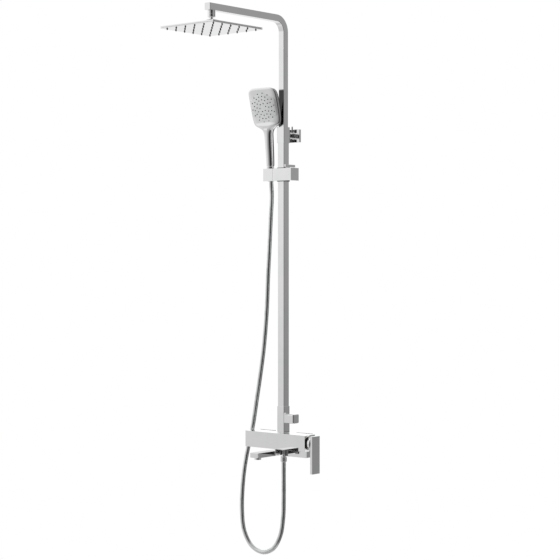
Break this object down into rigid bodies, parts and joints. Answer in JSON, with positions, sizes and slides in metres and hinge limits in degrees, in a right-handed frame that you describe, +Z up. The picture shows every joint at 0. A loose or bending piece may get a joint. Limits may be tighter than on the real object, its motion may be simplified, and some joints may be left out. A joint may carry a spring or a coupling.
{
  "type": "rainfall shower column",
  "caption": "Exposed wall shower column: square bar mixer with side lever and spout, telescopic square riser with bent arm and square rain head, hand shower on a slider, metal hose.",
  "frame": {"origin": "on the finished wall, midway between the two water inlets at the height of their axes", "axes": "+Z up along the riser, -Y away from the wall towards the user, +X to the user's right"},
  "size_m": [0.3061, 0.5225, 1.6832],
  "materials": {
    "polished_chrome": "mirror-polished chrome plating on brass",
    "hose_metal": "chromed double-lock metal spiral over a rubber tube",
    "satin_spray_face": "satin chromed plastic spray face",
    "grey_silicone": "matte silicone nozzles",
    "brass": "turned brass",
    "stainless_steel": "plain stainless steel",
    "black_rubber": "matte rubber",
    "white_plastic": "moulded acetal",
    "grey_plastic": "moulded nylon"
  },
  "bodies": {
    "column": {"mixer_body": "polished_chrome", "inlet_washer_left": "black_rubber", "wall_union_left": "brass", "union_nut_left": "polished_chrome", "rosette_left": "polished_chrome", "inlet_washer_right": "black_rubber", "wall_union_right": "brass", "union_nut_right": "polished_chrome", "rosette_right": "polished_chrome", "cartridge_housing": "white_plastic", "cartridge_ring_nut": "brass", "hose_outlet_spigot": "polished_chrome", "check_valve": "white_plastic", "hose_washer": "black_rubber", "hose_nut_lower": "polished_chrome", "spout_washer": "grey_plastic", "spout_pivot_bolt": "polished_chrome", "diverter_body": "polished_chrome", "diverter_cartridge": "white_plastic", "riser_lower_tube": "polished_chrome", "bracket_sleeve": "polished_chrome", "wall_flange": "polished_chrome", "wall_screw_1": "stainless_steel", "wall_screw_2": "stainless_steel", "bracket_set_screw": "stainless_steel", "shower_hose": "hose_metal"},
    "lever_carrier": {"cartridge_carrier": "grey_plastic"},
    "lever": {"lever_stem": "brass", "lever_hub": "polished_chrome", "lever_handle": "polished_chrome", "lever_grub_screw": "stainless_steel"},
    "spout": {"spout_arm": "polished_chrome", "aerator_housing": "polished_chrome", "aerator_insert": "grey_plastic"},
    "diverter": {"diverter_knob": "polished_chrome", "diverter_spindle": "brass"},
    "upper_riser": {"riser_upper_tube": "polished_chrome", "arm_end_cap": "polished_chrome", "ball_stud": "polished_chrome", "ball_nut": "polished_chrome"},
    "ball_seat": {"ball_liner": "white_plastic"},
    "rain_head": {"ball_cup": "polished_chrome", "rain_head_shell": "polished_chrome", "rain_nozzle_mat": "grey_silicone", "rain_head_face": "polished_chrome"},
    "slider": {"slider_body": "polished_chrome", "slider_bush": "grey_plastic", "holder_pivot_pin": "stainless_steel"},
    "lock_tab": {"slider_lock_tab": "polished_chrome"},
    "holder": {"handset_holder": "polished_chrome"},
    "handset": {"hose_cone_nut": "polished_chrome", "handset_shell": "polished_chrome", "handset_spray_face": "satin_spray_face", "handset_spray_core": "grey_plastic", "handset_washer": "black_rubber"},
    "selector_button": {"spray_selector_button": "polished_chrome"}
  },
  "joints": [
    {"name": "lever_temperature", "type": "hinge", "parent": "column", "child": "lever_carrier", "pos_m": [0.13, -0.056, 0], "axis": [1, 0, 0], "range_deg": [-70, 20]},
    {"name": "lever_flow", "type": "hinge", "parent": "lever_carrier", "child": "lever", "pos_m": [0.13, -0.056, 0], "axis": [0, -1, 0], "range_deg": [0, 12]},
    {"name": "spout_swivel", "type": "hinge", "parent": "column", "child": "spout", "pos_m": [0.0183, -0.056, -0.036], "axis": [0, 0, 1], "range_deg": [-90, 0]},
    {"name": "diverter_turn", "type": "hinge", "parent": "column", "child": "diverter", "pos_m": [0.061, -0.056, 0.0715], "axis": [1, 0, 0], "range_deg": [-90, 90]},
    {"name": "riser_height", "type": "slide", "parent": "column", "child": "upper_riser", "axis": [0, 0, 1], "range_m": [-0.1, 0.08]},
    {"name": "rain_head_pitch", "type": "hinge", "parent": "upper_riser", "child": "ball_seat", "pos_m": [0.033, -0.385, 1.266], "axis": [1, 0, 0], "range_deg": [-12, 12]},
    {"name": "rain_head_roll", "type": "hinge", "parent": "ball_seat", "child": "rain_head", "pos_m": [0.033, -0.385, 1.266], "axis": [0, 1, 0], "range_deg": [-12, 12]},
    {"name": "slider_height", "type": "slide", "parent": "column", "child": "slider", "axis": [0, 0, 1], "range_m": [-0.45, 0.05], "deforming": ["shower_hose"]},
    {"name": "lock_tab_press", "type": "slide", "parent": "slider", "child": "lock_tab", "axis": [0, 0, 1], "range_m": [-0.0025, 0], "stiffness_N_per_m": 600},
    {"name": "holder_tilt", "type": "hinge", "parent": "slider", "child": "holder", "pos_m": [0, -0.056, 0.8285], "axis": [1, 0, 0], "range_deg": [0, 35], "deforming": ["shower_hose"]},
    {"name": "handset_lift", "type": "slide", "parent": "holder", "child": "handset", "axis": [0, -0.0767, 0.9971], "range_m": [0, 0.04], "deforming": ["shower_hose"]},
    {"name": "selector_press", "type": "slide", "parent": "handset", "child": "selector_button", "axis": [0, 0.9971, 0.0767], "range_m": [0, 0.002], "stiffness_N_per_m": 500}
  ]
}
